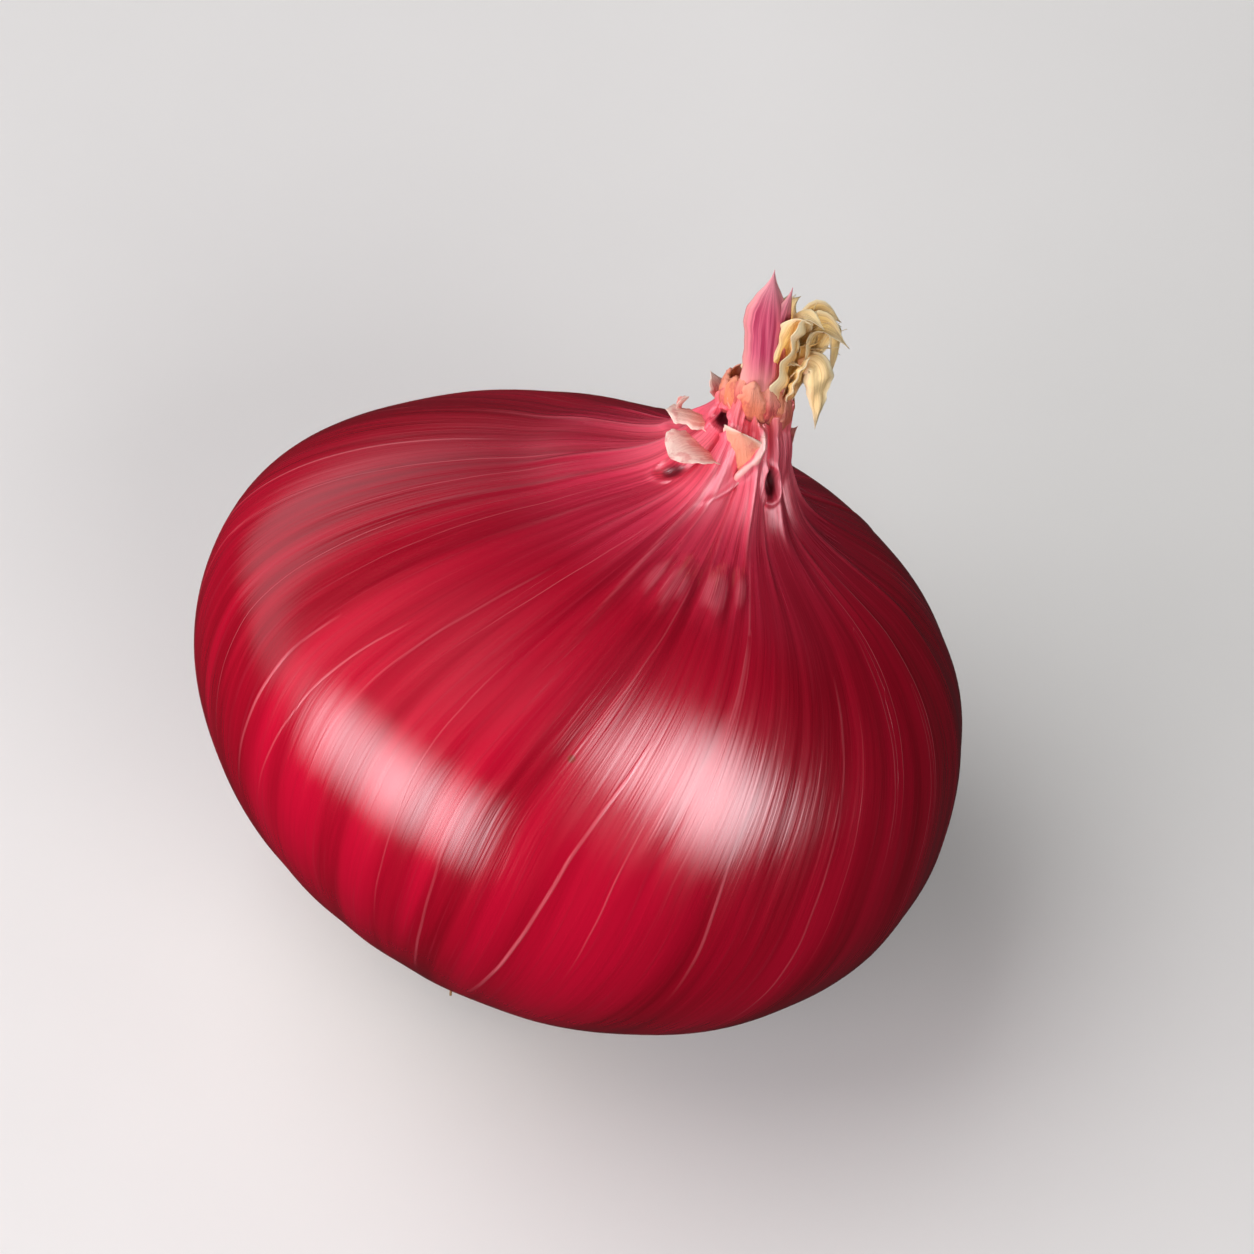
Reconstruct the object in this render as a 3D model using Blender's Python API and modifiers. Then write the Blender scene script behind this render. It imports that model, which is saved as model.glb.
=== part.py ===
"""A red onion, cured and topped, leaning on a small flat spot of its flank.

Each shape is made upright in the bulb's own axes: the growing axis is local +Z, the roots point
down it and the dried neck points up it. One empty then leans the whole onion over. The row frame
has +Z up and its origin in the middle of the flat spot, which lies in the plane Z = 0.
"""

import math
import random

import bmesh
import bpy
from mathutils import Matrix, Vector

MM = 0.001

# The bulb, an oblate body that rises into a thin neck
BULB_RADIUS = 35.0 * MM
ROOT_DEPTH = 26.3 * MM
SHOULDER_HEIGHT = 25.3 * MM
RING_STEPS = 72
BODY_RINGS = 34

# The neck, a brim that curls up to a narrow waist and flares again to a torn rim. The brim is
# steeper on its +X side.
WAIST_RADIUS = 3.2 * MM
RIM_RADIUS = 3.9 * MM
NECK_RISE = 8.0 * MM
NECK_SPREAD = 2.8 * MM
BRIM_SKEW = 0.24
NECK_RINGS = 9
RIM_HEIGHT = 37.8 * MM
TORN_DEPTH = 0.8 * MM

# The neck stands off the body's middle line and bends back towards the vertical
NECK_OFFSET = 4.6 * MM
NECK_BACK_SLOPE = 0.33
NECK_SIDE_SLOPE = 0.10
NECK_BEND_HEIGHT = 29.0 * MM

# Low relief of the skin
RIB_COUNT = 17
RIB_HEIGHT = 0.16 * MM
PLEAT_COUNT = 9
PLEAT_SHARE = 0.14
LOBE_SHARES = ((2, 0.010, 0.6), (3, 0.007, 2.1))

# Sockets that take the straw tuft and the root plate, and the gap round each of them
SOCKET_RADIUS = 1.8 * MM
SOCKET_DEPTH = 4.0 * MM
DIMPLE_RADIUS = 8.0 * MM
DIMPLE_DEPTH = 2.6 * MM
GAP = 0.3 * MM

# How the onion stands: the lean of its axis, the way it leans, its turn about its own axis,
# and how far its round flank is flattened where it rests
LEAN = math.radians(30.3)
LEAN_HEADING = math.radians(40.1)
OWN_TURN = math.radians(-56.5)
FLAT_DEPTH = 1.5 * MM

# Papery blades and roots
BLADE_THICKNESS = 0.65 * MM
BLADE_ROWS = 8
ROOT_COUNT = 64
ROOT_RADIUS = 0.42 * MM
ROOT_LENGTHS = (2.2 * MM, 3.9 * MM)
FLOOR_CLEARANCE = 0.5 * MM

CRIMSON = (0.43, 0.012, 0.045)
STRAW = (0.74, 0.53, 0.24)
ROOT_TAN = (0.5, 0.31, 0.12)


def smooth_step(value, low, high):
    share = min(max((value - low) / (high - low), 0.0), 1.0)
    return share * share * (3 - 2 * share)


def material(name, colour, roughness):
    made = bpy.data.materials.new(name)
    made.use_nodes = True
    shader = made.node_tree.nodes["Principled BSDF"]
    shader.inputs["Base Color"].default_value = (*colour, 1)
    shader.inputs["Roughness"].default_value = roughness
    shader.inputs["Metallic"].default_value = 0
    return made


def add_object(name, data, collection):
    made = bpy.data.objects.new(name, data)
    collection.objects.link(made)
    return made


def as_mesh(source, name, collection):
    """The evaluated object as a plain mesh object with its caps welded. The source is removed."""
    graph = bpy.context.evaluated_depsgraph_get()
    data = bpy.data.meshes.new_from_object(source.evaluated_get(graph))
    made = add_object(name, data, collection)
    made.matrix_world = source.matrix_world
    bpy.data.objects.remove(source)
    shape = bmesh.new()
    shape.from_mesh(data)
    bmesh.ops.remove_doubles(shape, verts=shape.verts, dist=1e-6)
    shape.to_mesh(data)
    shape.free()
    return made


def lathe(name, profile, steps, collection):
    """Turns a profile of (radius, height) points, listed down its outer side, about local Z."""
    data = bpy.data.meshes.new(name)
    points = [(radius, 0, height) for radius, height in profile]
    data.from_pydata(points, [(i, i + 1) for i in range(len(points) - 1)], [])
    source = add_object(name + "_profile", data, collection)
    screw = source.modifiers.new("turn", "SCREW")
    screw.steps = screw.render_steps = steps
    screw.use_merge_vertices = True
    screw.merge_threshold = 1e-5
    return as_mesh(source, name, collection)


def shoulder_height_at(radius):
    """The top of the body, a half ellipse, plus the neck, which rises steeply near the axis."""
    body = SHOULDER_HEIGHT * math.sqrt(1 - (radius / BULB_RADIUS) ** 2)
    neck = NECK_RISE * math.exp((WAIST_RADIUS - radius) / NECK_SPREAD)
    return body + neck


def bulb_profile():
    """Socket, torn rim, neck, shoulder, equator, root end and root dimple, from top to bottom."""
    waist_height = shoulder_height_at(WAIST_RADIUS)
    floor = RIM_HEIGHT - SOCKET_DEPTH
    profile = [(0, floor), (SOCKET_RADIUS, floor), (SOCKET_RADIUS, RIM_HEIGHT)]
    for i in range(4):
        share = 1 - i / 4
        radius = WAIST_RADIUS + (RIM_RADIUS - WAIST_RADIUS) * share**2
        profile.append((radius, waist_height + (RIM_HEIGHT - waist_height) * share))
    blend_radius = 4 * WAIST_RADIUS
    for i in range(NECK_RINGS):
        radius = WAIST_RADIUS + (blend_radius - WAIST_RADIUS) * (i / NECK_RINGS) ** 1.6
        profile.append((radius, shoulder_height_at(radius)))
    first = math.acos(blend_radius / BULB_RADIUS)
    last = -math.acos((DIMPLE_RADIUS + GAP) / BULB_RADIUS)
    for i in range(BODY_RINGS + 1):
        angle = first + (last - first) * i / BODY_RINGS
        radius = BULB_RADIUS * math.cos(angle)
        below = ROOT_DEPTH * math.sin(angle)
        profile.append((radius, below if angle < 0 else shoulder_height_at(radius)))
    ceiling = DIMPLE_DEPTH - ROOT_DEPTH
    return profile + [(DIMPLE_RADIUS, ceiling), (0, ceiling)]


def skin_relief(radius, height, angle):
    """The radius with lobes, low ribs and the pleats of the neck added."""
    lobes = sum(share * math.cos(n * angle + turn) for n, share, turn in LOBE_SHARES)
    wander = 0.35 * math.sin(2 * angle + 0.5)
    rib = math.cos(RIB_COUNT * (angle + 0.12 * math.sin(3 * angle)) + wander)
    rib_fade = smooth_step(radius, 5 * MM, 16 * MM)
    neckness = smooth_step(height, 22 * MM, 30 * MM)
    pleat = 2 * abs(math.cos(PLEAT_COUNT / 2 * angle + 0.9 * math.sin(angle))) - 1.2
    return (
        radius * (1 + lobes * rib_fade + PLEAT_SHARE * pleat * neckness)
        + RIB_HEIGHT * rib * rib_fade
    )


def brim_share(radius, height, angle):
    """The share of its radius that a point of the brim keeps, less on the steep side."""
    on_brim = smooth_step(radius, WAIST_RADIUS, 1.7 * WAIST_RADIUS)
    on_brim *= 1 - smooth_step(radius, 2.5 * WAIST_RADIUS, 6 * WAIST_RADIUS)
    return 1 - BRIM_SKEW * math.cos(angle) * on_brim if height > 20 * MM else 1


def neck_sway(height):
    """How far the middle of a ring at this height stands off the bulb's own axis."""
    above = height - NECK_BEND_HEIGHT
    bend = 0.5 * (above + math.hypot(above, 3 * MM))
    off = NECK_OFFSET * smooth_step(height, 2 * MM, 28 * MM)
    return Vector((off - NECK_BACK_SLOPE * bend, -NECK_SIDE_SLOPE * bend, 0))


def shape_bulb(bulb):
    """Moves each point of the turned body by the skin's relief, the torn rim and the sway."""
    for point in bulb.data.vertices:
        x, y, height = point.co
        radius, angle = math.hypot(x, y), math.atan2(y, x)
        above_socket = height > 20 * MM and radius > SOCKET_RADIUS + 0.5 * GAP
        if radius > DIMPLE_RADIUS + 0.5 * GAP or above_socket:
            radius = skin_relief(radius, height, angle) * brim_share(radius, height, angle)
        tear = smooth_step(height, RIM_HEIGHT - 2 * MM, RIM_HEIGHT)
        ragged = math.sin(3 * angle + 1) + 0.6 * math.sin(7 * angle)
        raised = height + TORN_DEPTH * ragged * tear
        turned = Vector((radius * math.cos(angle), radius * math.sin(angle), raised))
        point.co = turned + neck_sway(height)


def curled_path(base, outward, leans, bend, length):
    """Points along a strip that leans from local Z towards outward.

    The lean goes from leans[0] to leans[1] between the shares bend[0] and bend[1] of its length.
    """
    points = [base.copy()]
    for i in range(BLADE_ROWS):
        turned = smooth_step((i + 0.5) / BLADE_ROWS, *bend)
        lean = math.radians(leans[0] + (leans[1] - leans[0]) * turned)
        ahead = Vector((0, 0, math.cos(lean))) + outward * math.sin(lean)
        points.append(points[-1] + ahead * (length / BLADE_ROWS))
    return points


def blade(name, path, side, width, cup, tip, collection):
    """A thin papery blade: a grid laid along a path, then thickened.

    side is the unit vector across it, cup bends both edges outwards, or inwards below zero, and
    tip is the share of the length over which it narrows to its end.
    """
    shape = bmesh.new()
    bmesh.ops.create_grid(shape, x_segments=BLADE_ROWS, y_segments=2, size=1)
    for point in shape.verts:
        along, across = (point.co.x + 1) / 2, point.co.y
        row = round(along * BLADE_ROWS)
        ahead = path[min(row + 1, BLADE_ROWS)] - path[max(row - 1, 0)]
        outer = side.cross(ahead).normalized()
        waved = 1 + 0.18 * math.sin(9 * along + 2 * across)
        half = 0.5 * width * waved * smooth_step(1 - along, -0.3 * tip, tip)
        point.co = path[row] + side * half * across + outer * cup * half * across**2
    data = bpy.data.meshes.new(name)
    shape.to_mesh(data)
    shape.free()
    source = add_object(name + "_sheet", data, collection)
    solidify = source.modifiers.new("thickness", "SOLIDIFY")
    solidify.thickness = BLADE_THICKNESS
    solidify.offset = 0
    return as_mesh(source, name, collection)


def neck_blade(name, row, height, reach, collection):
    """A blade that stands on the neck, its foot at this reach from the neck's middle line.

    row holds its angle round the neck, its leans, the shares between which it bends, its
    length, width, cup and tip.
    """
    angle, leans, bend, length, width, cup, tip = row
    angle = math.radians(angle)
    outward = Vector((math.cos(angle), math.sin(angle), 0))
    side = Vector((-math.sin(angle), math.cos(angle), 0))
    base = neck_sway(height) + outward * reach + Vector((0, 0, height))
    path = curled_path(base, outward, leans, bend, length * MM)
    path = [p + neck_sway(p.z) - neck_sway(height) for p in path]
    return blade(name, path, side, width * MM, cup, tip, collection)


def tube(name, points, radii, collection):
    """A root: a poly curve with a round bevel and filled caps, made a mesh."""
    data = bpy.data.curves.new(name, "CURVE")
    data.dimensions = "3D"
    data.bevel_depth = 1.0
    data.bevel_resolution = 0
    data.use_fill_caps = True
    spline = data.splines.new("POLY")
    spline.points.add(len(points) - 1)
    for slot, point, radius in zip(spline.points, points, radii):
        slot.co = (*point, 1)
        slot.radius = radius
    source = add_object(name + "_line", data, collection)
    bpy.context.view_layer.update()
    return as_mesh(source, name, collection)


def repeats_collection(name):
    made = bpy.data.collections.new(name)
    bpy.context.scene.collection.children.link(made)
    return made


def unite(target, pieces):
    """One Boolean union on a collection joins the pieces to the target, and is applied."""
    join = target.modifiers.new("join", "BOOLEAN")
    join.operation = "UNION"
    join.operand_type = "COLLECTION"
    join.collection = pieces
    join.solver = "MANIFOLD"
    bpy.context.view_layer.update()
    graph = bpy.context.evaluated_depsgraph_get()
    joined = bpy.data.meshes.new_from_object(target.evaluated_get(graph))
    target.modifiers.clear()
    target.data = joined
    for piece in list(pieces.objects):
        bpy.data.objects.remove(piece)
    bpy.data.collections.remove(pieces)


# Torn skin round the foot of the neck: height, then angle, leans, bend, length, width, cup, tip
COLLAR = (
    (27.6, (205, (58, 94), (0.1, 0.8), 9.0, 5.6, 0.25, 0.35)),
    (31.2, (180, (46, 106), (0.1, 0.7), 7.8, 2.6, 0.5, 0.4)),
    (29.4, (243, (5, 26), (0.3, 1.0), 5.8, 4.6, -0.4, 0.22)),
    (31.0, (285, (4, 16), (0.3, 1.0), 4.6, 3.6, -0.4, 0.3)),
    (29.4, (95, (14, 60), (0.2, 1.0), 6.4, 4.4, -0.2, 0.4)),
    (31.2, (138, (20, 78), (0.2, 0.9), 6.0, 3.4, 0.2, 0.4)),
)

# The tip of an inner leaf that stands up in front of the straw, as in the rows above
LEAF_TIP = (236, (2, 3), (0, 1), 12.6, 4.3, -0.4, 0.62)

# Leaf ends dried to straw, as in the rows above but all from one height
LEAF_ENDS = (
    (318, (4, 26), (0.2, 1), 7.4, 2.4, -0.2, 0.5),
    (338, (22, 172), (0.15, 0.52), 17.0, 3.2, 0.3, 0.45),
    (6, (22, 170), (0.22, 0.6), 12.0, 2.8, 0.3, 0.4),
    (350, (-4, 10), (0.3, 1), 8.4, 2.8, -0.3, 0.5),
    (36, (10, 40), (0.2, 1), 8.2, 3.4, -0.2, 0.4),
    (62, (8, 110), (0.3, 0.9), 9.0, 2.6, 0.2, 0.5),
    (95, (0, 20), (0.2, 1), 7.4, 3.0, -0.3, 0.45),
    (150, (-2, 8), (0.2, 1), 6.2, 2.4, -0.3, 0.5),
)


def make_bulb(collection):
    """The fleshy bulb in its tight outer skin, with its pleated neck and torn scraps of skin."""
    bulb = lathe("bulb", bulb_profile(), RING_STEPS, collection)
    shape_bulb(bulb)
    scraps = repeats_collection("scraps")
    for i, (height, row) in enumerate(COLLAR):
        neck_blade(f"scrap_{i}", row, height * MM, WAIST_RADIUS, scraps)
    middle_of_rim = 0.5 * (SOCKET_RADIUS + RIM_RADIUS)
    neck_blade("leaf_tip", LEAF_TIP, RIM_HEIGHT - 2.4 * MM, middle_of_rim, scraps)
    unite(bulb, scraps)
    return bulb


def make_straw(collection):
    """The withered leaf ends, straw dry, that stand in the neck and curl over to one side."""
    floor = RIM_HEIGHT - SOCKET_DEPTH + GAP
    top = RIM_HEIGHT + 2.4 * MM
    core = SOCKET_RADIUS - GAP
    profile = [(0, top), (0.75 * core, top), (core, top - 1 * MM)]
    profile += [(core, top - 3 * MM), (core, floor), (0, floor)]
    straw = lathe("neck_straw", profile, 10, collection)
    for point in straw.data.vertices:
        point.co += neck_sway(point.co.z)
    shreds = repeats_collection("shreds")
    for i, row in enumerate(LEAF_ENDS):
        neck_blade(f"shred_{i}", row, top - 0.8 * MM, 0.5 * core, shreds)
    unite(straw, shreds)
    return straw


def lifted_clear(point, stand):
    """The point of a root, moved up in the row frame to where it clears the floor."""
    placed = stand @ point
    placed.z = max(placed.z, FLOOR_CLEARANCE + ROOT_RADIUS)
    return stand.inverted() @ placed


def make_roots(collection, stand):
    """The corky plate at the base of the bulb, with its short dried roots."""
    plate = DIMPLE_RADIUS - GAP
    top = DIMPLE_DEPTH - ROOT_DEPTH - GAP
    profile = [(0, top), (plate, top), (plate, 1.2 * MM - ROOT_DEPTH)]
    profile += [(0.7 * plate, 0.4 * MM - ROOT_DEPTH), (0, -ROOT_DEPTH)]
    roots = lathe("root_tuft", profile, 24, collection)
    strands = repeats_collection("strands")
    draw = random.Random(11)
    golden = math.pi * (3 - math.sqrt(5))
    for i in range(ROOT_COUNT):
        ring = plate * 0.93 * math.sqrt((i + 0.5) / ROOT_COUNT)
        angle = i * golden
        outward = Vector((math.cos(angle), math.sin(angle), 0))
        around = Vector((-math.sin(angle), math.cos(angle), 0))
        length = draw.uniform(*ROOT_LENGTHS)
        spread = 0.2 + 0.6 * ring / plate
        curl = draw.uniform(-1.1, 1.1)
        point = outward * ring - Vector((0, 0, ROOT_DEPTH - 1.6 * MM))
        points = []
        for step in range(5):
            points.append(lifted_clear(point, stand) if step > 0 else point)
            lean = spread * (0.25 + 0.3 * step)
            heading = (outward + around * curl * 0.35 * step).normalized()
            ahead = heading * math.sin(lean) - Vector((0, 0, math.cos(lean)))
            point = point + ahead * (length / 4 + (1.0 * MM if step == 0 else 0))
        thick = ROOT_RADIUS * draw.uniform(0.85, 1.15)
        radii = [thick * share for share in (1.15, 1.1, 1.0, 0.85, 0.6)]
        tube(f"strand_{i}", points, radii, strands)
    unite(roots, strands)
    return roots


def stand_matrix():
    """Leans the bulb's own axes over, with the middle of the flattened flank at the origin."""
    turn = (
        Matrix.Rotation(LEAN_HEADING, 4, "Z")
        @ Matrix.Rotation(LEAN, 4, "Y")
        @ Matrix.Rotation(OWN_TURN, 4, "Z")
    )
    reach = math.hypot(BULB_RADIUS * math.sin(LEAN), ROOT_DEPTH * math.cos(LEAN))
    squared = BULB_RADIUS**2 - ROOT_DEPTH**2
    forward = squared * math.sin(LEAN) * math.cos(LEAN) / reach * (1 - FLAT_DEPTH / reach)
    heading = Vector((math.cos(LEAN_HEADING), math.sin(LEAN_HEADING), 0))
    middle = Vector((0, 0, reach - FLAT_DEPTH)) - heading * forward
    return Matrix.Translation(middle) @ turn


def flatten_flank(bulb, collection):
    """Cuts the round flank flat where the onion rests."""
    side = 60 * MM
    bpy.ops.mesh.primitive_cube_add(size=side, location=(0, 0, -side / 2))
    cutter = bpy.context.object
    cutter.name = "resting_plane"
    cutter.hide_render = True
    cutter.display_type = "WIRE"
    for old in list(cutter.users_collection):
        old.objects.unlink(cutter)
    collection.objects.link(cutter)
    cut = bulb.modifiers.new("flat_spot", "BOOLEAN")
    cut.operation = "DIFFERENCE"
    cut.solver = "EXACT"
    cut.object = cutter


def main():
    for old in list(bpy.data.objects):
        bpy.data.objects.remove(old)
    onion = bpy.data.collections.new("red_onion")
    cutters = bpy.data.collections.new("cutters")
    bpy.context.scene.collection.children.link(onion)
    bpy.context.scene.collection.children.link(cutters)
    stand = stand_matrix()
    bulb = make_bulb(onion)
    straw = make_straw(onion)
    roots = make_roots(onion, stand)
    finishes = (
        (bulb, material("onion_skin", CRIMSON, 0.33)),
        (straw, material("dry_straw", STRAW, 0.8)),
        (roots, material("dry_roots", ROOT_TAN, 0.9)),
    )
    leaning = add_object("leaning_onion", None, onion)
    leaning.matrix_world = stand
    for part, finish in finishes:
        part.data.materials.clear()
        part.data.materials.append(finish)
        part.data.shade_smooth()
        part.data.set_sharp_from_angle(angle=math.radians(50))
        part.parent = leaning
    bpy.context.view_layer.update()
    flatten_flank(bulb, cutters)


main()
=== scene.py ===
# %% [markdown]
# # A red onion with its dry neck and roots
#
# The CAD model has the onion's true form, and this lesson dresses it. Every surface is worked out
# with numpy as a function of two parameters, so a formula can be changed in one place. The frame
# comes first, because everything is made in its coordinates: metres, +Z up, and the flat spot
# that the onion rests on at the origin.

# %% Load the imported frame
import math

import bpy
import numpy as np
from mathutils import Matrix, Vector


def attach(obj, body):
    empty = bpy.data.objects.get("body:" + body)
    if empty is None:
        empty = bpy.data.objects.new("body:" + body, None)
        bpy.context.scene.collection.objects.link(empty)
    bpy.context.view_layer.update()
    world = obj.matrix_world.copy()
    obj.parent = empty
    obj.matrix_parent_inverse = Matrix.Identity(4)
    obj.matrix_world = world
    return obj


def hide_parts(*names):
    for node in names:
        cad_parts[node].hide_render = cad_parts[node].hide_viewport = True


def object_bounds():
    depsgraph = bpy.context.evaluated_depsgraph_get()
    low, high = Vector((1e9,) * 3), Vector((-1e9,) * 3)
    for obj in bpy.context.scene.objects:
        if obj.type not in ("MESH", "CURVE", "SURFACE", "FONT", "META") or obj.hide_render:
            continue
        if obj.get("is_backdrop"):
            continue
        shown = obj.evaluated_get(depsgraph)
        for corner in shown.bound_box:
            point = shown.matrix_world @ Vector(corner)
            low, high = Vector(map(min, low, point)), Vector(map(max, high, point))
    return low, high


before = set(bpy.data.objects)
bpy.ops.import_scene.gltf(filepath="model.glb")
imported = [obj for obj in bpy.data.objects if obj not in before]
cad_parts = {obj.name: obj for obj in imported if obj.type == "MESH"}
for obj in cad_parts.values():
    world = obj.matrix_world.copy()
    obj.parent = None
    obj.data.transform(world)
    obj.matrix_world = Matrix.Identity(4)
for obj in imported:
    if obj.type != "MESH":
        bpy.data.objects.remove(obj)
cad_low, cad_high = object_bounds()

MM = 0.001
scene, seeded = bpy.context.scene, np.random.default_rng
print("CAD nodes", sorted(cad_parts), "low", list(cad_low), "high", list(cad_high))

# %% [markdown]
# ## The onion's own measures
#
# An onion is nearly a turned form, so a profile of radius and height describes most of it: 70 mm
# across, flattened from root to shoulder, with a neck only 6.4 mm thick at its waist. The
# measures repeat those that drive the CAD, so the finer surface lies on the same form.

# %% Measures of the bulb, the neck and the sockets
BULB_RADIUS, ROOT_DEPTH, SHOULDER_HEIGHT = 35.0 * MM, 26.3 * MM, 25.3 * MM
WAIST_RADIUS, WAIST_PLACE, RIM_HEIGHT = 3.2 * MM, 4.6 * MM, 37.8 * MM
STUMP_RADIUS, STUMP_HEIGHT = 3.0 * MM, 35.2 * MM
NECK_RISE, NECK_SPREAD, BRIM_SKEW = 8.0 * MM, 2.8 * MM, 0.24
TORN_DEPTH, LAYER_DEPTH = 0.8 * MM, 0.9 * MM
NECK_OFFSET, NECK_BACK_SLOPE, NECK_SIDE_SLOPE = 4.6 * MM, 0.33, 0.1
NECK_BEND_HEIGHT, NECK_BEND_ROUNDING = 29.0 * MM, 3.0 * MM
RIB_COUNT, RIB_HEIGHT, PLEAT_COUNT, PLEAT_SHARE = 17, 0.08 * MM, 9, 0.14
LOBE_SHARES = ((2, 0.01, 0.6), (3, 0.007, 2.1))
SOCKET_RADIUS, SOCKET_FLOOR = 1.8 * MM, STUMP_HEIGHT - 2.4 * MM
DIMPLE_RADIUS, DIMPLE_DEPTH, GAP = 8.0 * MM, 2.6 * MM, 0.3 * MM
LEAN, LEAN_HEADING, OWN_TURN = np.radians([30.3, 40.1, -56.5])
FLAT_DEPTH, SKIN_INSET = 1.5 * MM, 0.07 * MM
print("bulb", 2000 * BULB_RADIUS, "mm across, neck", 2000 * WAIST_RADIUS, "mm at its waist")

# %% [markdown]
# ## Leaning the onion over
#
# The onion is shaped upright, along local Z, and then leans over the way it lies in the
# photograph. One matrix and one offset do this for every point, so the finished objects stay
# unturned at the origin, as the frame wants them.

# %% Small helpers for shapes
UP = np.array([0, 0, 1.0])


def smooth_step(value, low, high):
    """0 below low, 1 above high, and between them 3 s^2 - 2 s^3 of the share s passed."""
    share = np.clip((value - low) / (high - low), 0, 1)
    return share * share * (3 - 2 * share)


def unit(vectors):
    """Each vector divided by its own length."""
    return vectors / (np.linalg.norm(vectors, axis=-1, keepdims=True) + 1e-12)


def round_angles(count):
    """Evenly spaced angles of one full turn, from 0."""
    return np.linspace(0, 2 * np.pi, count, endpoint=False)


def round_axis(radius, height, angle):
    """Points at radius times the angle's cosine and sine, and at the height."""
    return np.stack([radius * np.cos(angle), radius * np.sin(angle), height], -1)


# %% From the bulb's own axes to the frame
def turn_about(axis, angle):
    """The matrix that turns about axis 0, 1 or 2, the next axis towards the one after it."""
    a, b = (axis + 1) % 3, (axis + 2) % 3
    turn = np.eye(3)
    turn[a, a] = turn[b, b] = math.cos(angle)
    turn[b, a], turn[a, b] = math.sin(angle), -math.sin(angle)
    return turn


# the underside is half an ellipse, and its lowest point once it leans is where the onion rests
STAND_TURN = turn_about(2, LEAN_HEADING) @ turn_about(1, LEAN) @ turn_about(2, OWN_TURN)
reach = math.hypot(BULB_RADIUS * math.sin(LEAN), ROOT_DEPTH * math.cos(LEAN))
squared = BULB_RADIUS**2 - ROOT_DEPTH**2
forward = squared * math.sin(LEAN) * math.cos(LEAN) / reach * (1 - FLAT_DEPTH / reach)
STAND_MIDDLE = (reach - FLAT_DEPTH) * UP - forward * round_axis(1, 0, LEAN_HEADING)


def stood(points):
    """Own-axis points carried into the frame: turned by STAND_TURN, then moved."""
    return points @ STAND_TURN.T + STAND_MIDDLE


print("growing axis in the frame", np.round(STAND_TURN[:, 2], 3))

# %% [markdown]
# ## From arrays to a mesh
#
# Nearly everything here is a tube: the skin is a fat one from the socket in the neck to the
# dimple at the roots, and each shred and root is a thin one. So one helper turns a block of rings
# into closed tubes. It fans the last ring of each end to its middle, which closes the poles, and
# looks at the enclosed volume to point faces outwards.


# %% Closed tubes from rings of points
def closed_tubes(rings):
    """Points, quads and triangles of tubes given as an array (tube, ring, place, xyz).

    Ring i joins ring i + 1 place by place, the last place joins the first, and each end is a fan
    about its mean. The signed volume, a sixth of the sum of a . (b x c), tells inside from out.
    """
    count, rows, places, _ = rings.shape
    index = np.arange(count * rows * places).reshape(count, rows, places)
    beside = np.roll(index, -1, 2)
    quads = np.stack([index[:, :-1], beside[:, :-1], beside[:, 1:], index[:, 1:]], -1)
    first = index.size + np.arange(count)[:, None] + 0 * index[:, 0]
    tris = np.concatenate([
        np.stack([first, beside[:, 0], index[:, 0]], -1).reshape(-1, 3),
        np.stack([first + count, index[:, -1], beside[:, -1]], -1).reshape(-1, 3)])
    points = with_ends(rings)
    quads = quads.reshape(-1, 4)
    a, b, c, d = (points[quads[:, i]] - points.mean(0) for i in range(4))
    volume = (a * np.cross(b, c)).sum() + (a * np.cross(c, d)).sum()
    if volume < 0:
        quads, tris = quads[:, ::-1], tris[:, ::-1]
    return points, quads, tris


def with_ends(values):
    """The rows of an array (tube, ring, place, value), then the mean of each tube's end rings."""
    flat = values.reshape(-1, values.shape[-1])
    return np.concatenate([flat, values[:, 0].mean(1), values[:, -1].mean(1)])


# %% A mesh object from those arrays
def add_piece(name, rings, finish, slot, nodes, **blocks):
    """Closed tubes as a smooth mesh, with a point attribute from each block of values.

    It rides on the onion's only body, and stands for CAD nodes with their finish.
    """
    points, quads, tris = closed_tubes(rings)
    corners = np.concatenate([quads.ravel(), tris.ravel()]).astype(np.int32)
    starts = np.concatenate([4 * np.arange(len(quads)), quads.size + 3 * np.arange(len(tris))])
    mesh = bpy.data.meshes.new(name)
    mesh.vertices.add(len(points))
    mesh.vertices.foreach_set("co", points.astype(np.float32).ravel())
    mesh.loops.add(len(corners))
    mesh.loops.foreach_set("vertex_index", corners)
    mesh.polygons.add(len(starts))
    mesh.polygons.foreach_set("loop_start", starts.astype(np.int32))
    mesh.update(calc_edges=True)
    mesh.shade_smooth()
    for label, block in blocks.items():
        values = with_ends(block).astype(np.float32)
        kind, field = ("FLOAT_VECTOR", "vector") if block.shape[-1] == 3 else ("FLOAT", "value")
        mesh.attributes.new(label, kind, "POINT").data.foreach_set(field, values.ravel())
    mesh.validate()
    mesh.materials.append(finish)
    piece = bpy.data.objects.new(name, mesh)
    scene.collection.objects.link(piece)
    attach(piece, "root")
    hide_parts(*nodes)
    print(name, len(points), "points", 2 * len(quads) + len(tris), "triangles")


# %% [markdown]
# ## Building materials in code
#
# A material is a graph of small steps, which hide the idea when they are written one by one. So a
# tiny builder makes a node, sets its sockets and returns its output, and a finish reads like a
# recipe: a base colour, and colours that cover it by some share. A number that is the same all
# over goes straight into the shader's own socket. The lamps use this builder too.


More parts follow.
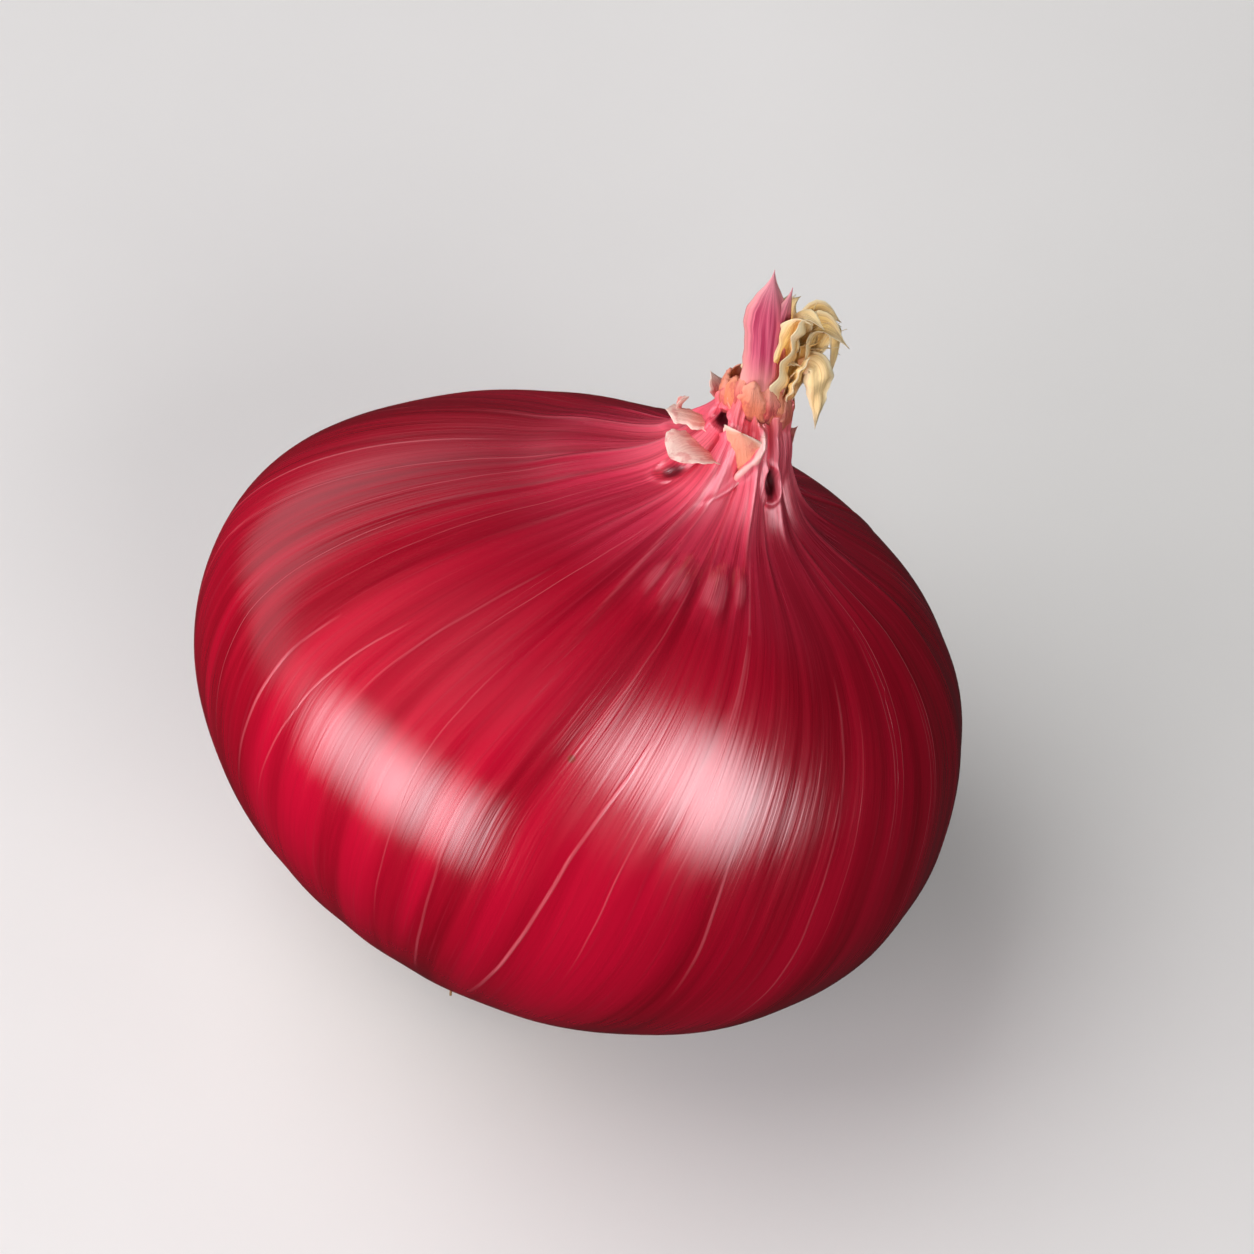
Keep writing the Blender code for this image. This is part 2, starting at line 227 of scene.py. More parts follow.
# %% A small node builder
class Nodes:
    """A node tree under construction: each method adds a node and returns its output."""

    def __init__(self, tree):
        self.tree = tree

    def put(self, socket, value):
        if isinstance(value, bpy.types.NodeSocket):
            self.tree.links.new(value, socket)
        else:
            a_colour = socket.type == "RGBA" and hasattr(value, "__len__")
            socket.default_value = (*value, 1) if a_colour else value

    def node(self, kind, output=0, settings=None, **sockets):
        """Sockets go by name, with _ for a space, or as i0, i1 and so on by their place."""
        made = self.tree.nodes.new("ShaderNode" + kind)
        for key, value in (settings or {}).items():
            setattr(made, key, value)
        for key, value in sockets.items():
            place = int(key[1:]) if key[1:].isdigit() else key.replace("_", " ")
            self.put(made.inputs[place], value)
        return made.outputs[output]

    def part(self, vector, axis):
        return self.node("SeparateXYZ", axis, i0=vector)

    def math(self, operation, a, b=0.0, c=0.0):
        return self.node("Math", 0, {"operation": operation}, i0=a, i1=b, i2=c)

    def times(self, first, *others):
        """The product of all that is given."""
        for other in others:
            first = self.math("MULTIPLY", first, other)
        return first

    def ramp(self, value, low, high, to_low=0.0, to_high=1.0):
        """Value carried smoothly from low..high to to_low..to_high."""
        return self.node("MapRange", 0, {"interpolation_type": "SMOOTHSTEP"}, i0=value,
                         i1=low, i2=high, i3=to_low, i4=to_high)


# %% Recipes for finishes
class Recipe(Nodes):
    """A material under construction, which keeps the colour that it has so far."""

    def __init__(self, name, colour):
        self.colour = colour
        self.material = bpy.data.materials.new(name)
        self.material.use_nodes = True
        super().__init__(self.material.node_tree)

    def attribute(self, name, output="Fac"):
        return self.node("Attribute", output, {"attribute_name": name})

    def spot(self):
        return self.node("TexCoord", "Object")

    def noise(self, vector, scale, detail=3.0, rough=0.55, twist=0.0):
        return self.node("TexNoise", Vector=vector, Scale=scale, Detail=detail, Roughness=rough,
                         Distortion=twist)

    def stretched(self, vector, rates, detail, rough, twist=0.0):
        """Noise that is read at its own rate along each axis of the vector."""
        scaled = self.node("VectorMath", 0, {"operation": "MULTIPLY"}, i0=vector, i1=rates)
        return self.noise(scaled, 1.0, detail, rough, twist)

    def lay(self, colour, *shares):
        """Mixes a colour over what there is, by the product of the shares."""
        self.colour = self.node("Mix", 2, {"data_type": "RGBA"}, i0=self.times(*shares),
                                i6=self.colour, i7=colour)

    def strip(self):
        """A strip's `place`, and its parts: share along, share across and tint."""
        place = self.attribute("place", "Vector")
        return place, *(self.part(place, axis) for axis in "XYZ")

    def edges(self, across, start, most):
        """0 up to this share of the half width, then up to most at both edges."""
        out = self.math("ABSOLUTE", self.math("MULTIPLY_ADD", across, 2.0, -1.0))
        return self.ramp(out, start, 1.0, 0, most)

    def finish(self, roughness, height=None, depth=0.0, **constants):
        """Connects the shader, with bump of this depth from height, and sets its constants."""
        shader = self.tree.nodes["Principled BSDF"].inputs
        if height is not None:
            bump = self.node("Bump", 0, Strength=1.0, Distance=depth, Height=height)
            self.put(shader["Normal"], bump)
        for key, value in {"Base_Color": self.colour, "Roughness": roughness, **constants}.items():
            self.put(shader[key.replace("_", " ")], value)
        return self.material


# %% [markdown]
# ## The skin's form
#
# The skin is one surface: a profile from the straw's socket over the torn rim, down the neck,
# round the body and into the root dimple, turned through 456 meridians. A lathe would do for a
# bottle, but an onion's ring is never a circle, so each is lobed, ribbed and pleated by a formula
# of its angle. Stations crowd together at the neck, where the folds are.


# %% The profile from socket to root dimple
def shoulder_height_at(radius):
    """A half ellipse of the body plus a neck that decays exponentially away from the axis."""
    body = SHOULDER_HEIGHT * np.sqrt(np.clip(1 - (radius / BULB_RADIUS) ** 2, 0, 1))
    return body + NECK_RISE * np.exp((WAIST_RADIUS - radius) / NECK_SPREAD)


def skin_profile():
    """Radius and height of each station: socket, rim, stump, neck, body and root dimple.

    Across the rim's top a squared sine cuts layers of torn skin.
    """
    across = np.linspace(0.03, 0.97, 20)
    down = np.linspace(1, 0, 25)[:-1]
    waist = shoulder_height_at(WAIST_RADIUS)
    neck = WAIST_RADIUS + 3 * WAIST_RADIUS * np.linspace(0, 1, 65)[:-1] ** 1.5
    turn = np.linspace(math.acos(4 * WAIST_RADIUS / BULB_RADIUS),
                       -math.acos((DIMPLE_RADIUS + GAP) / BULB_RADIUS), 84)
    body = BULB_RADIUS * np.cos(turn)
    parts = (
        (np.array([0.3, 1.0, 1.7]) * MM, np.full(3, SOCKET_FLOOR)),
        (np.full(6, SOCKET_RADIUS),
         np.linspace(SOCKET_FLOOR + 0.2 * MM, STUMP_HEIGHT - 0.4 * MM, 6)),
        (SOCKET_RADIUS + (STUMP_RADIUS - SOCKET_RADIUS) * across,
         STUMP_HEIGHT + LAYER_DEPTH * (np.sin(3 * np.pi * across) ** 2 - 1)),
        (WAIST_RADIUS + (STUMP_RADIUS - WAIST_RADIUS) * down**2,
         waist + (STUMP_HEIGHT - waist) * down),
        (neck, shoulder_height_at(neck)),
        (body, np.where(turn < 0, ROOT_DEPTH * np.sin(turn), shoulder_height_at(body))),
        (np.array([8.0, 8.0, 7.6, 4.0, 0.5]) * MM,
         DIMPLE_DEPTH - ROOT_DEPTH - np.array([0.7, 0.1, 0, 0, 0]) * MM))
    return np.concatenate([np.stack(part, 1) for part in parts])


profile = skin_profile()
RIM_STATION, WAIST_STATION, BODY_STATION, MERIDIANS = 28, 53, 150, 456
print("stations", len(profile), "height of the waist", profile[WAIST_STATION, 1])


# %% The lobed, ribbed and pleated rings
def neck_sway(height):
    """Sideways offset of a ring: NECK_OFFSET over the body, then two slopes above the bend.

    The bend is half of x + sqrt(x^2 + rounding^2), a straight line with a rounded start.
    """
    above = height - NECK_BEND_HEIGHT
    bend = 0.5 * (above + np.hypot(above, NECK_BEND_ROUNDING))
    off = NECK_OFFSET * smooth_step(height, 2 * MM, 28 * MM)
    return np.stack([off - NECK_BACK_SLOPE * bend, -NECK_SIDE_SLOPE * bend, 0 * bend], -1)


def skin_form(radius, height, angle):
    """The CAD form of the skin: lobes, ribs, pleats and brim change the radius of each ring."""
    lobes = sum(share * np.cos(n * angle + turn) for n, share, turn in LOBE_SHARES)
    wander = 0.35 * np.sin(2 * angle + 0.5)
    rib = np.cos(RIB_COUNT * (angle + 0.12 * np.sin(3 * angle)) + wander)
    fade = smooth_step(radius, 5 * MM, 16 * MM)
    neckness = smooth_step(height, 22 * MM, 30 * MM)
    pleat = 2 * np.abs(np.cos(PLEAT_COUNT / 2 * angle + 0.9 * np.sin(angle))) - 1.2
    outer = smooth_step(radius, 1.9 * MM, 2.6 * MM)
    change = (lobes * fade + PLEAT_SHARE * pleat * neckness) * outer
    relieved = radius * (1 + change) + RIB_HEIGHT * rib * fade
    on_brim = smooth_step(relieved, WAIST_RADIUS, 1.7 * WAIST_RADIUS)
    on_brim = on_brim * (1 - smooth_step(relieved, 2.5 * WAIST_RADIUS, 6 * WAIST_RADIUS))
    kept = np.where(height > 20 * MM, 1 - BRIM_SKEW * np.cos(angle) * on_brim, 1)
    tear = smooth_step(height, STUMP_HEIGHT - 2 * MM, STUMP_HEIGHT) * outer
    ragged = np.sin(3 * angle + 1) + 0.6 * np.sin(7 * angle)
    raised = height + TORN_DEPTH * ragged * tear
    return round_axis(relieved * kept - SKIN_INSET * fade, raised, angle) + neck_sway(height)


radius, height, angle = np.broadcast_arrays(profile[:, :1], profile[:, 1:], round_angles(MERIDIANS))
form = skin_form(radius, height, angle)
along = np.concatenate([[0], np.cumsum(np.hypot(*np.diff(profile, axis=0).T))])
along = (along - along[WAIST_STATION] + WAIST_PLACE)[:, None] + 0 * angle
print("rim to root", round((along[-1, 0] - along[RIM_STATION, 0]) / MM, 1), "mm along the skin")

# %% [markdown]
# ## Creases, pleats, pockets and swells
#
# Close to the neck the skin dries and shrinks, and folds run down from it. They are too fine for
# the CAD and too deep for bump, so the mesh itself is moved along its normals. Creases are single
# ridges between two places, pleats are a ridged sum of cosines all round the neck, and pockets
# are small pits where one fold stands off the next, which the finish fills with painted shade. A
# pocket of negative depth is a swell: a row of them, below the front of the neck, makes the blunt
# ends of the folds, which the finish paints with a pale highlight.

# %% Tables of creases and pockets
# angle at the start and end in degrees, place along the skin at both in mm, height, half width
CREASES = (
    (294, 252, 5.6, 13, 0.62, 0.3), (252, 260, 11, 44, 0.2, 0.3),
    (247, 250, 9, 42, 0.12, 0.3), (258, 266, 9, 36, 0.14, 0.28), (238, 236, 9, 40, 0.12, 0.34),
    (274, 279, 8, 30, 0.13, 0.26), (228, 223, 10, 52, 0.1, 0.4), (290, 292, 7, 24, 0.2, 0.24),
    (303, 306, 6, 26, 0.16, 0.26), (322, 324, 6, 18, 0.2, 0.3), (340, 338, 6, 30, 0.15, 0.32),
    (5, 2, 6, 34, 0.16, 0.34), (28, 31, 6, 24, 0.2, 0.3), (55, 51, 6, 40, 0.16, 0.36),
    (84, 88, 6, 28, 0.18, 0.34), (112, 110, 6, 44, 0.14, 0.36), (140, 146, 7, 26, 0.18, 0.3),
    (168, 165, 7, 38, 0.15, 0.36), (196, 201, 8, 30, 0.16, 0.34), (212, 209, 8, 46, 0.13, 0.36),
)
# angle in degrees, place along the skin, half width, half length and depth in mm
POCKETS = (
    (312, 9.2, 0.72, 1.25, 1.5), (226, 5.4, 0.8, 0.8, 1.5), (223, 11.6, 0.6, 1.1, 0.8),
    (60, 8, 0.6, 1.6, 0.9), (118, 9.5, 0.5, 1.2, 0.7), (170, 9, 0.5, 1.5, 0.6),
    (261, 22.8, 0.7, 2.6, -0.26), (267, 22.6, 0.9, 3, -0.38), (271.5, 22.6, 0.6, 2.4, -0.26),
    (278, 21.8, 0.8, 2.4, -0.3), (282, 21.6, 0.9, 2.8, -0.4), (289, 20.6, 0.7, 2.2, -0.3),
)
pleat_draw = seeded(5)
PLEAT_WAVES = [(n, *pleat_draw.uniform(0, 2 * np.pi, 2)) for n in (7, 11, 17, 26)]
print(len(CREASES), "creases,", len(POCKETS), "pockets and swells")


# %% The relief that moves the skin along its normals
def aside_from(degrees):
    """How far each point of the skin lies beside this direction round the axis, in mm."""
    return ((angle - np.radians(degrees) + np.pi) % (2 * np.pi) - np.pi) * radius / MM


def crease_relief(along):
    """Each crease is a bell of the distance from a line that runs from one place to the other."""
    total = 0 * along
    for start, end, low, high, rise, half in CREASES:
        passed = np.clip((along - low) / (high - low), 0, 1)
        aside = aside_from(start + (end - start) * passed) / half
        fade = smooth_step(along, low - 3, low) * (1 - smooth_step(passed, 0.35, 1.0))
        total = total + rise * np.exp(-(aside**2)) * fade
    return total


def pleat_relief(angle, along):
    """A sum of cosines of the angle, folded by its absolute value into sharp-edged ridges."""
    lean = 0.1 * np.sin(along / 6)
    wave = sum(np.cos(n * (angle + lean) + turn + 0.8 * np.sin(along / 5 + shift))
               * (7 / n) ** 0.35 for n, turn, shift in PLEAT_WAVES) / len(PLEAT_WAVES)
    ridges = 1 - 2.2 * np.abs(wave)
    near = smooth_step(along, -0.5, 1.5) * (1 - smooth_step(along, 4, 11))
    far = smooth_step(along, 8, 20) * (1 - smooth_step(along, 70, 92))
    return 0.22 * near * (ridges - 0.5) + 0.016 * far * (ridges - 1)


def pocket_relief(along):
    """Each pocket is a pit, minus a bell of an ellipse, with a low lip round it."""
    total = 0 * along
    for there, place, wide, long, deep in POCKETS:
        out = (aside_from(there) / wide) ** 2 + ((along - place) / long) ** 2
        total = total - deep * np.exp(-(out**1.5)) + 0.22 * deep * np.exp(-((out - 2.2) ** 2))
    return total


place_mm = along / MM
folds = crease_relief(place_mm) + pleat_relief(angle, place_mm)
pits = pocket_relief(place_mm)
relief = folds + pits
relief[: RIM_STATION - 8] = 0
relief[-6:] = 0
# normals are the cross product of the differences down and around, turned to point outwards
around = np.roll(form, -1, 1) - np.roll(form, 1, 1)
normals = unit(np.cross(np.gradient(form, axis=0), around))
body_ring = form[BODY_STATION]
outward = np.sign((normals[BODY_STATION] * (body_ring - body_ring.mean(0))).sum())
skin_rings = stood(form + normals * outward * relief[..., None] * MM)
skin_rings[..., 2] = np.maximum(skin_rings[..., 2], 0)
print("relief from", round(relief.min(), 2), "to", round(relief.max(), 2), "mm")

# %% [markdown]
# ## The skin's finish
#
# A red onion's skin is a stack of thin crimson scales with parallel veins that run from neck to
# root. An image could hold this, but a pattern tied to the surface stays sharp at any distance.
# Each point carries `grain`: the cosine and sine of its angle, and its place along the skin.
# Noise that is read there at a high rate round the ring and a low rate along it comes out as
# streaks that follow the meridians and meet at both ends, as the veins do. Veins that stand out
# one by one are in a table, and finer ones are drawn at random.

# %% Colours of the skin and its single veins
DEEP, CRIMSON, BRIGHT = (0.27, 0.001, 0.011), (0.43, 0.0016, 0.019), (0.58, 0.0028, 0.03)
VEIN_PINK, VEIN_PALE, MAUVE_DUST_AND_SHEEN = (0.66, 0.05, 0.095), (0.84, 0.17, 0.21), (0.38, 0.012, 0.036)
NECK_ROSE, NECK_BLUSH, PEACH = (0.86, 0.042, 0.115), (0.93, 0.15, 0.21), (0.8, 0.26, 0.15)
CREST_HIGHLIGHT_PINK, RIDGE_HIGHLIGHT_PALE, POCKET_SHADE = (0.84, 0.2, 0.25), (0.93, 0.5, 0.45), (0.07, 0.001, 0.006)
GOLD, CREAM, RUST = (0.66, 0.37, 0.12), (0.9, 0.66, 0.5), (0.26, 0.03, 0.015)

# angle in degrees, turn in degrees per mm along, where it starts and ends along the skin in mm,
# half width in mm, strength
LONG_VEINS = (
    (280.5, -0.14, 40, 77, 0.16, 0.85), (225, -0.2, 46, 68, 0.14, 0.5),
    (234, -0.3, 42, 66, 0.11, 0.4), (301.5, 0.13, 46, 64, 0.15, 0.45),
    (240, -0.1, 30, 54, 0.12, 0.3), (262, 0.1, 55, 80, 0.13, 0.35), (318, 0.05, 30, 70, 0.12, 0.3),
    (20, 0.1, 25, 70, 0.14, 0.4), (75, -0.1, 35, 80, 0.15, 0.45), (130, 0.08, 30, 66, 0.14, 0.4),
    (185, -0.05, 28, 72, 0.15, 0.4),
)
FINE_VEIN_COUNT, VEIN_SPACING, VEIN_REACH, GOLDEN_TURN = 48, 4.0, (0.5, 0.9), 137.508

# finer, fainter veins stand at golden-angle steps round the bulb, clear of the long ones
veins = list(LONG_VEINS)
vein_draw = seeded(17).uniform(
    (12, -4, -0.12, 20, 0.05, 0.15), (52, 4, 0.12, 40, 0.1, 0.5), (FINE_VEIN_COUNT, 6))
for i, (start, shift, lean, long, half, strength) in enumerate(vein_draw):
    turn = (GOLDEN_TURN * i + shift) % 360
    if all(abs((turn - row[0] + 180) % 360 - 180) > VEIN_SPACING for row in LONG_VEINS):
        veins.append((turn, lean, start, start + long, half, strength))
print(len(veins), "veins")


# %% Where the veins run
def vein_lines(along):
    """Signed distance to the nearest vein in half widths, and its strength, at each point.

    A vein is a line whose angle changes steadily with the place along, plus two slow sines. Faces
    carry the distance evenly from corner to corner, so the finish can draw a line finer than the
    mesh. The strength fades over VEIN_REACH in mm, before another vein becomes the nearest.
    """
    best, aside_now, strength_now = 0 * along + 1e9, 0 * along + 9, 0 * along
    for degrees, lean, start, end, half, strength in veins:
        wave = 0.06 * np.sin(along / 3.3 + degrees) + 0.02 * np.sin(along / 0.9 + 2 * degrees)
        aside = aside_from(degrees + lean * (along - start)) + wave
        shown = smooth_step(along, start - 3, start + 2) * (1 - smooth_step(along, end - 14, end))
        distance = np.abs(aside) + 8 * (1 - smooth_step(shown, 0, 0.02))
        nearer = distance < best
        best = np.where(nearer, distance, best)
        aside_now = np.where(nearer, np.clip(aside / half, -9, 9), aside_now)
        strength_now = np.where(nearer, strength * shown, strength_now)
    return aside_now, strength_now * (1 - smooth_step(best, *VEIN_REACH))


# %% The skin's material
def onion_skin_finish():
    """Bands, streaks, hairlines, veins, mauve dust that is also a painted sheen on the upper
    shoulder, a rosy neck with painted highlights and shade, and a golden root end.
    """
    r = Recipe("onion_skin_veined", DEEP)
    grain, spot = r.attribute("grain", "Vector"), r.spot()
    along, crest_highlight = r.part(grain, "Z"), r.attribute("crest_highlight")
    bands = r.stretched(grain, (6, 6, 0.013), 2, 0.5, 0.15)
    streaks = r.stretched(grain, (21, 21, 0.03), 4, 0.6, 0.2)
    hairlines = r.stretched(grain, (80, 80, 0.05), 2, 0.6)
    patches = r.noise(spot, 42, 2, 0.5)
    tone = r.math("MULTIPLY_ADD", streaks, 0.55, r.times(bands, 0.45))
    r.lay(CRIMSON, r.ramp(tone, 0.35, 0.6))
    r.lay(BRIGHT, r.ramp(bands, 0.42, 0.66), r.ramp(along, 22, 50, 0.25, 0.8))
    r.lay(DEEP, r.ramp(hairlines, 0.45, 0.7, 0, 0.22))
    # mauve dusty patches towards the neck, partly dust and partly painted sheen over the upper
    # shoulder
    dust_and_sheen = r.times(r.ramp(patches, 0.38, 0.66), r.ramp(along, 20, 50, 0.5, 0))
    r.lay(MAUVE_DUST_AND_SHEEN, dust_and_sheen)
    r.lay(VEIN_PINK, r.ramp(hairlines, 0.56, 0.72, 0, 0.1))
    line = r.ramp(r.math("ABSOLUTE", r.attribute("vein_aside")), 0.35, 1.5, 1, 0)
    vein = r.times(line, r.attribute("vein_strength"), r.ramp(streaks, 0.36, 0.56, 0.45, 1))
    r.lay(VEIN_PALE, vein)
    # the neck: rosy, then peach where it dries out; the rose is weaker towards +X, painted shade on
    # that side of the neck, with painted highlights on its crests and painted shade in its pockets
    r.lay(NECK_ROSE, r.ramp(along, 7, 29, 1, 0), r.ramp(streaks, 0.38, 0.66, 0.35, 1),
          r.ramp(r.part(grain, "X"), 0.1, 0.9, 1, 0.45))
    r.lay(NECK_BLUSH, r.ramp(along, 5, 17, 0.75, 0), r.ramp(streaks, 0.36, 0.58, 0.3, 1))
    r.lay(PEACH, r.ramp(along, 0, 6, 1, 0), r.ramp(hairlines, 0.34, 0.62, 0.2, 0.8))
    # painted highlight on the fold crests and swells: pale pink, and cream on the tallest crease
    r.lay(CREST_HIGHLIGHT_PINK, r.ramp(crest_highlight, 0.25, 1.2), r.ramp(along, 10, 30, 0.7, 0.25),
          r.ramp(hairlines, 0.36, 0.6, 0.35, 1.15))
    r.lay(RIDGE_HIGHLIGHT_PALE, r.ramp(crest_highlight, 1.5, 2.4, 0, 0.9))
    # painted shade in the pockets, by the shade attribute
    r.lay(POCKET_SHADE, r.ramp(r.attribute("shade"), 0.25, 0.9, 0, 0.85))
    # golden streaks round the roots, then cream, and a few rust specks all over
    r.lay(GOLD, r.ramp(along, 78, 91), r.ramp(streaks, 0.36, 0.6, 0.25, 1))
    r.lay(CREAM, r.ramp(along, 88, 93.5), r.ramp(hairlines, 0.35, 0.6, 0.4, 1))
    dots = r.node("TexVoronoi", "Distance", Vector=spot, Scale=260)
    r.lay(RUST, r.ramp(dots, 0.05, 0.13, 1, 0), r.ramp(patches, 0.62, 0.7))
    gloss = r.math("MULTIPLY_ADD", streaks, 0.3, r.ramp(along, 6, 24, 0.2, 0.04))
    gloss = r.math("MULTIPLY_ADD", dust_and_sheen, 0.1, gloss)
    height = r.math("MULTIPLY_ADD", streaks, 0.9, r.times(hairlines, 0.35))
    height = r.math("MULTIPLY_ADD", vein, 0.5, height)
    return r.finish(gloss, height, 0.08 * MM, Specular_IOR_Level=1.0)


# %% Make the skin
PIT_DEPTH, CREST_HEIGHT, SWELL_HIGHLIGHT_SHARE = 0.9, 0.22, 0.7
vein_aside, vein_strength = vein_lines(place_mm)
# the crest values carry the painted highlight on fold crests and swell tops, and shade the painted
# shade in the pockets
swells = np.maximum(pits, 0) * smooth_step(place_mm, 15, 18)
crest_highlight = np.clip((relief - pits + SWELL_HIGHLIGHT_SHARE * swells) / CREST_HEIGHT, 0, 3)
single = dict(vein_aside=vein_aside, vein_strength=vein_strength, crest_highlight=crest_highlight,
              shade=np.clip(-pits / PIT_DEPTH, 0, 1))
add_piece("onion_skin_shell", skin_rings[None], onion_skin_finish(), "onion_skin", ["bulb"],
          grain=np.stack([np.cos(angle), np.sin(angle), place_mm], -1)[None],
          **{label: values[None, ..., None] for label, values in single.items()})

# %% [markdown]
# ## Shreds of dry skin
#
# Round the foot of the neck the outer scales have torn into scraps, an inner leaf's tip stands
# up, and the leaves themselves have withered to straw. One function makes all these strips: a
# flat ring of points, carried along a path that leans further and further. A plane with a
# Solidify modifier would do as well, but a closed ring can thin out towards tip and edges.

# %% Strips along a leaning path
STRIP_ROWS, STRIP_PLACES = 30, 22
EDGE_WAVES, FLUTE_WAVES = (11, 23, 47), 7
strip_draw = seeded(8)


def leaning_path(foot, outward, leans, bend, length):
    """Steps from the foot, each leaning from up towards outward.

    The lean goes from leans[0] to leans[1] between the two shares of the length in bend.
    """
    middle = (np.arange(STRIP_ROWS) + 0.5) / STRIP_ROWS
    lean = np.radians(leans[0] + (leans[1] - leans[0]) * smooth_step(middle, *bend))
    ahead = np.cos(lean)[:, None] * UP + np.sin(lean)[:, None] * outward
    return np.concatenate([foot[None], foot + np.cumsum(ahead * length / STRIP_ROWS, 0)])


def strip_rings(height, reach, row, thickness=0.16, ragged=0.16, roll=0.0, twist=0.0, flute=0.05,
                rounding=1.0, crumple=0.0):
    """One strip as rings: a flat oval of width and thickness, swept along a leaning path.

    Across the strip x is the cosine of the place round the ring, and its sine is the thickness.
    Both edges are ragged by a sum of sines of the place along, the strip is cupped by x^2, fluted
    by a sine of x, crumpled by two slanted waves, turned by roll and then by twist, and narrows
    smoothly to its tip, which a rounding below 1 makes blunt.
    """
    degrees, leans, bend, length, width, cup, tip = row
    turn = math.radians(degrees)
    out = round_axis(1, 0, turn)
    sway = neck_sway(np.array(height * MM))
    path = leaning_path(sway + out * reach * MM + UP * height * MM, out, leans, bend, length * MM)
    path = path + neck_sway(path[:, 2]) - sway
    ahead = unit(np.gradient(path, axis=0))
    side = round_axis(1, 0, turn + np.pi / 2) + 0 * ahead
    outer = unit(np.cross(side, ahead))
    share = np.linspace(0, 1, STRIP_ROWS + 1)[:, None]
    turned = roll + twist * smooth_step(share, 0.15, 1.0)
    side, outer = (side * np.cos(turned) + outer * np.sin(turned),
                   outer * np.cos(turned) - side * np.sin(turned))
    place = round_angles(STRIP_PLACES)[None, :]
    x = np.cos(place)
    phase = strip_draw.uniform(0, 2 * np.pi, 6)
    right, left = (sum(np.sin(f * share + phase[i + j]) / (1 + j)
                       for j, f in enumerate(EDGE_WAVES)) for i in (0, 3))
    narrowed = smooth_step(1 - share, -0.06 * tip, tip) ** rounding
    half = 0.5 * width * MM * narrowed * (1 + ragged * np.where(x > 0, right, left))
    thin = 0.5 * thickness * MM * (0.35 + 0.65 * np.sqrt(narrowed))
    slow, fast = share * (12 + 3 * np.sin(phase[0])), share * (21 + 6 * np.cos(phase[3]))
    waves = np.sin(fast + 2.5 * x + phase[1]) + 0.8 * np.sin(slow - 4 * x + phase[4])
    lift = thin * np.sin(place) + half * (cup * x**2 + crumple * waves)
    lift = lift + flute * MM * np.sin(FLUTE_WAVES * x + phase[2]) * narrowed
    rings = path[:, None] + side[:, None] * (half * x)[..., None] + outer[:, None] * lift[..., None]
    return rings, np.stack(np.broadcast_arrays(share, 0.5 + 0.5 * x), -1)


def strips_block(rows, tints=None, **usual):
    """Rings of several strips, with share along, share across and tint at each point."""
    made = [strip_rings(*where, row, **{**usual, **own}) for *where, row, own in rows]
    rings, places = (np.stack(blocks) for blocks in zip(*made))
    drawn = strip_draw.uniform(0, 1, len(rows))
    tint = np.array(drawn if tints is None else tints)[:, None, None, None] + 0 * rings[..., :1]
    return stood(rings), np.concatenate([places, tint], -1)


# %% [markdown]
# ## Torn scraps round the neck
#
# The scraps that the photograph shows are a rounded pale flake at the left, a narrow cream strip
# above it that curls up at its end, and a scaly orange piece in front. Round the back there are
# more of the same. Each keeps to the CAD form that it replaces.

# %% Table of the scraps
CURLED = dict(twist=0.4, thickness=0.26)
# height and reach of the foot, the strip's row of angle, leans, bend, length, width, cup and tip,
# then what differs from the usual, all in mm and degrees
SCRAPS = (
    (28.7, 3.3, (226, (62, 124), (0.15, 0.95), 5.9, 5.2, -0.12, 0.3),
     dict(ragged=0.09, thickness=0.3, rounding=0.45, flute=0.1)),
    (30.6, 2.9, (203, (62, 92), (0.1, 0.6), 5.6, 2.3, 0.3, 0.2), CURLED),
    (30.7, 6.6, (195, (20, -40), (0.1, 0.8), 2.3, 1.7, 0.4, 0.3), CURLED),
    (29, 4.1, (268, (2, 24), (0.3, 1), 4.4, 3.9, -0.4, 0.25),
     dict(ragged=0.1, thickness=0.4, rounding=0.6)),
    (29.4, 3.4, (95, (30, 74), (0.2, 1), 5.2, 4, -0.2, 0.4), dict(ragged=0.1, rounding=0.6)),
    (30.2, 3.4, (62, (20, 50), (0.2, 1), 3.8, 2.8, -0.2, 0.5), dict(ragged=0.12)),
    (31.6, 3.2, (146, (34, 80), (0.2, 0.9), 3.6, 2.4, 0.2, 0.4), dict(ragged=0.12)),
    (30, 3.6, (26, (8, 24), (0.2, 1), 3.2, 2.4, -0.2, 0.5), dict(ragged=0.14)),
)
SCRAP_TINTS = (0.1, 0.5, 0.4, 1.0, 0.5, 0.8, 0.2, 0.6)


# %% Make the scraps
def papery_finish(name, foot, dark, body, warm, pale):
    """Dark at the foot as painted shade where the strip leaves the skin or the stump, then fibrous,
    paler along the edges and the tip, mottled and brittle.
    """
    r = Recipe(name, dark)
    place, share, across, tint = r.strip()
    fibres = r.stretched(place, (3, 26, 9), 3, 0.6)
    mottle = r.noise(r.spot(), 620, 3, 0.6)
    r.lay(body, r.ramp(fibres, 0.35, 0.65))
    r.lay(warm, r.ramp(tint, 0.35, 0.8, 0.1, 0.75))
    r.lay(pale, r.ramp(share, 0.35, 1.0, 0, 0.85), r.ramp(tint, 0.6, 1.0, 1, 0.15))
    r.lay(pale, r.edges(across, 0.72, 0.75))
    r.lay(dark, r.ramp(mottle, 0.52, 0.66, 0, 0.5))
    # painted shade at the foot of each strip
    r.lay(foot, r.ramp(share, 0, 0.2, 0.8, 0))
    height = r.math("MULTIPLY_ADD", mottle, 0.8, fibres)
    return r.finish(r.ramp(mottle, 0.3, 0.7, 0.5, 0.75), height, 0.1 * MM)


